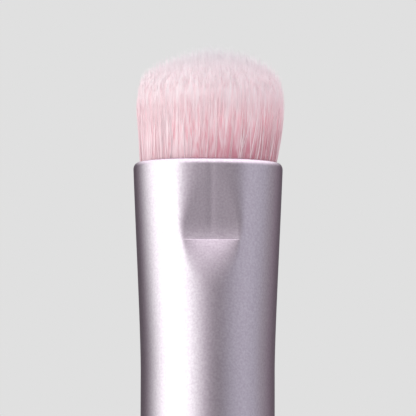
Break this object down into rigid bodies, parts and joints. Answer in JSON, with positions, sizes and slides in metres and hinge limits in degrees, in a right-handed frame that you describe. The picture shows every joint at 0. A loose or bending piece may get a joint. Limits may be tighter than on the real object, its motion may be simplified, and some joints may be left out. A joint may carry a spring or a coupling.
{
  "type": "eyeshadow brush",
  "caption": "Eyeshadow brush with a domed two-tone filament tuft that flexes in a pressed oval metal ferrule, on a slim turned handle with a tapered tail.",
  "frame": {"origin": "on the brush's axis, in the middle of the straight grip on the handle", "axes": "+Z along the brush from the tail to the tuft, +X across the broad side of the oval mouth, +Y through its thin side, away from the picture's viewpoint"},
  "size_m": [0.011, 0.0106, 0.1506],
  "materials": {
    "ferrule_metal": "fine blasted and anodised pale mauve, satin",
    "filament": "tapered polyester filaments, pink at the mouth and white at the tips",
    "thread": "plain cotton thread, soaked with glue",
    "epoxy": "cured clear epoxy, slightly yellow",
    "lacquered_wood": "mauve lacquer over turned hardwood"
  },
  "bodies": {
    "brush": {"ferrule": "ferrule_metal", "tuft_root": "filament", "binding_thread": "thread", "root_glue": "epoxy", "tenon_glue": "epoxy", "handle": "lacquered_wood"},
    "tuft": {"tuft_head": "filament"}
  },
  "joints": [
    {"name": "tuft_flex", "type": "hinge", "parent": "brush", "child": "tuft", "pos_m": [0, 0, 0.055], "axis": [1, 0, 0], "range_deg": [-25, 25], "stiffness_Nm_per_rad": 0.012}
  ]
}
